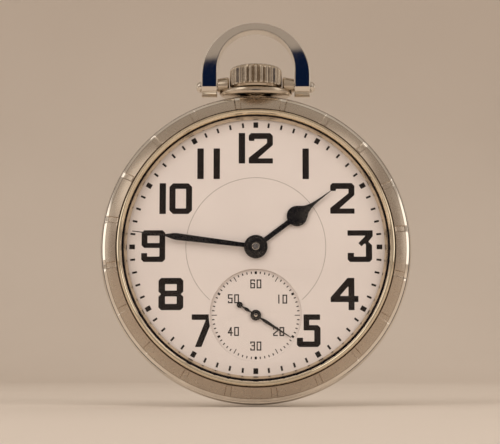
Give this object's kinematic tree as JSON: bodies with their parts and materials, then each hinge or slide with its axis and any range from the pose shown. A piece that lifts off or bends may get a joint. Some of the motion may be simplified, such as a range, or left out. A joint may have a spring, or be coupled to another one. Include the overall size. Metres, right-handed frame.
{
  "type": "open face pocket watch",
  "caption": "Open face pocket watch with a screwed bezel and back, a fluted crown, a swinging bow, a sunk seconds dial and a geared movement under the dial.",
  "frame": {"origin": "middle of the case back's flat outer face", "axes": "+Z towards 12 o'clock and the crown, +X towards 3 o'clock, +Y out of the case back, so the dial faces -Y"},
  "size_m": [0.0518, 0.0132, 0.0643],
  "materials": {
    "case_steel": "polished stainless steel",
    "steel": "fine ground steel",
    "nickel": "nickel finished plate",
    "brass": "gilt brass",
    "blued_steel": "blued steel",
    "dial_enamel": "cream-white vitreous enamel",
    "hand_black": "black",
    "crystal_clear": "clear",
    "ruby": "red jewel"
  },
  "bodies": {
    "case": {"case_center": "case_steel", "pendant": "case_steel", "bow_screws": "case_steel", "pendant_sleeve": "steel", "case_screws": "steel", "dial": "dial_enamel", "seconds_dial": "dial_enamel", "pillar_plate": "nickel", "barrel_bridge": "nickel", "train_bridge": "nickel", "balance_cock": "nickel", "pallet_bridge": "nickel", "bearing_jewels": "ruby", "bridge_screws": "blued_steel", "crown_wheel_screw": "blued_steel", "hairspring_stud": "steel", "click_spring": "steel"},
    "back": {"case_back": "case_steel"},
    "glass": {"crystal": "crystal_clear"},
    "ring": {"bezel": "case_steel"},
    "bow": {"bow": "case_steel"},
    "winder": {"crown": "case_steel", "winding_stem": "steel", "winding_pinion": "steel"},
    "clutch": {"clutch": "steel"},
    "crown_wheel": {"crown_wheel": "steel"},
    "winding_arbor": {"ratchet_wheel": "steel", "barrel_arbor": "steel"},
    "click": {"click": "steel"},
    "setting_lever": {"setting_lever": "steel"},
    "clutch_lever": {"clutch_lever": "steel"},
    "barrel": {"barrel": "brass", "barrel_cover": "brass", "mainspring": "blued_steel"},
    "center": {"center_wheel": "brass", "center_pinion": "steel", "cannon_pinion": "steel", "minute_hand": "hand_black"},
    "third": {"third_wheel": "brass", "third_pinion": "steel"},
    "fourth": {"fourth_wheel": "brass", "fourth_pinion": "steel", "seconds_hand": "hand_black"},
    "escape": {"escape_wheel": "steel", "escape_pinion": "steel"},
    "pallet": {"pallet_fork": "steel", "pallet_arbor": "steel", "pallet_stones": "ruby"},
    "balance": {"balance_wheel": "brass", "balance_staff": "steel", "balance_screws": "brass", "roller": "steel", "impulse_jewel": "ruby", "hairspring": "blued_steel"},
    "regulator": {"regulator": "steel"},
    "minute_work": {"minute_wheel": "brass"},
    "hour": {"hour_wheel": "brass", "hour_hand": "hand_black"},
    "setting_wheel": {"setting_wheel": "steel"}
  },
  "joints": [
    {"name": "bow_swing", "type": "hinge", "parent": "case", "child": "bow", "pos_m": [0, -0.0061, 0.02753], "axis": [1, 0, 0], "range_deg": [-90, 90]},
    {"name": "back_lift", "type": "slide", "parent": "case", "child": "back", "axis": [0, 1, 0], "range_m": [0, 0.0015]},
    {"name": "bezel_lift", "type": "slide", "parent": "case", "child": "glass", "axis": [0, -1, 0], "range_m": [0, 0.0015]},
    {"name": "bezel_turn", "type": "hinge", "parent": "glass", "child": "ring", "pos_m": [0, -0.0085, 0], "axis": [0, 1, 0], "range_deg": [-1080, 0]},
    {"name": "crown_turn", "type": "hinge", "parent": "case", "child": "winder", "pos_m": [0, -0.0061, 0.028], "axis": [0, 0, 1], "continuous": true},
    {"name": "clutch_slide", "type": "slide", "parent": "winder", "child": "clutch", "axis": [0, 0, -1], "range_m": [0, 0.0005]},
    {"name": "crown_wheel_turn", "type": "hinge", "parent": "case", "child": "crown_wheel", "pos_m": [0, -0.005, 0.0128], "axis": [0, 1, 0], "continuous": true},
    {"name": "ratchet_turn", "type": "hinge", "parent": "case", "child": "winding_arbor", "pos_m": [-0.00811, -0.005, 0.00568], "axis": [0, 1, 0], "continuous": true},
    {"name": "click_lift", "type": "hinge", "parent": "case", "child": "click", "pos_m": [-0.01221, -0.0018, 0.01278], "axis": [0, 1, 0], "range_deg": [-8, 0], "stiffness_Nm_per_rad": 0.0001, "springref_deg": 2.86, "deforming": ["click_spring"]},
    {"name": "setting_lever_turn", "type": "hinge", "parent": "case", "child": "setting_lever", "pos_m": [0.0052, -0.0085, 0.0152], "axis": [0, 1, 0], "range_deg": [-8, 0]},
    {"name": "clutch_lever_turn", "type": "hinge", "parent": "case", "child": "clutch_lever", "pos_m": [0.0062, -0.0088, 0.0129], "axis": [0, 1, 0], "range_deg": [-5, 0]},
    {"name": "fourth_turn", "type": "hinge", "parent": "case", "child": "fourth", "pos_m": [0, -0.005, -0.0112], "axis": [0, 1, 0], "continuous": true},
    {"name": "third_turn", "type": "hinge", "parent": "case", "child": "third", "pos_m": [-0.00437, -0.005, -0.00655], "axis": [0, 1, 0], "continuous": true},
    {"name": "center_turn", "type": "hinge", "parent": "case", "child": "center", "pos_m": [0, -0.005, 0], "axis": [0, 1, 0], "continuous": true},
    {"name": "barrel_turn", "type": "hinge", "parent": "case", "child": "barrel", "pos_m": [-0.00811, -0.005, 0.00568], "axis": [0, 1, 0], "continuous": true, "deforming": ["mainspring"]},
    {"name": "escape_turn", "type": "hinge", "parent": "case", "child": "escape", "pos_m": [0.00528, -0.005, -0.0112], "axis": [0, 1, 0], "continuous": true},
    {"name": "minute_work_turn", "type": "hinge", "parent": "case", "child": "minute_work", "pos_m": [0.00088, -0.005, 0.00328], "axis": [0, 1, 0], "continuous": true},
    {"name": "hour_turn", "type": "hinge", "parent": "case", "child": "hour", "pos_m": [0, -0.005, 0], "axis": [0, 1, 0], "continuous": true},
    {"name": "setting_wheel_turn", "type": "hinge", "parent": "case", "child": "setting_wheel", "pos_m": [0, -0.005, 0.00951], "axis": [0, 1, 0], "continuous": true},
    {"name": "pallet_rock", "type": "hinge", "parent": "case", "child": "pallet", "pos_m": [0.00857, -0.005, -0.00865], "axis": [0, 1, 0], "range_deg": [-5, 5]},
    {"name": "balance_swing", "type": "hinge", "parent": "case", "child": "balance", "pos_m": [0.01034, -0.005, -0.00376], "axis": [0, 1, 0], "range_deg": [-220, 220], "stiffness_Nm_per_rad": 0.000004, "deforming": ["hairspring"]},
    {"name": "regulator_turn", "type": "hinge", "parent": "case", "child": "regulator", "pos_m": [0.01034, -0.005, -0.00376], "axis": [0, 1, 0], "range_deg": [-20, 20]}
  ],
  "couplings": [
    {"joint": "bezel_lift", "follows": "bezel_turn", "m_per_rad": -0.000079577},
    {"joint": "crown_wheel_turn", "follows": "crown_turn", "ratio": -0.5625},
    {"joint": "ratchet_turn", "follows": "crown_turn", "ratio": 0.40909},
    {"joint": "setting_lever_turn", "follows": "clutch_slide", "rad_per_m": -279.2},
    {"joint": "clutch_lever_turn", "follows": "clutch_slide", "rad_per_m": -169.5},
    {"joint": "third_turn", "follows": "fourth_turn", "ratio": -0.13333},
    {"joint": "center_turn", "follows": "fourth_turn", "ratio": 0.016667},
    {"joint": "barrel_turn", "follows": "fourth_turn", "ratio": -0.0020833},
    {"joint": "escape_turn", "follows": "fourth_turn", "ratio": -10},
    {"joint": "minute_work_turn", "follows": "fourth_turn", "ratio": -0.0055556},
    {"joint": "hour_turn", "follows": "fourth_turn", "ratio": 0.0013889},
    {"joint": "setting_wheel_turn", "follows": "fourth_turn", "ratio": 0.0037879}
  ]
}
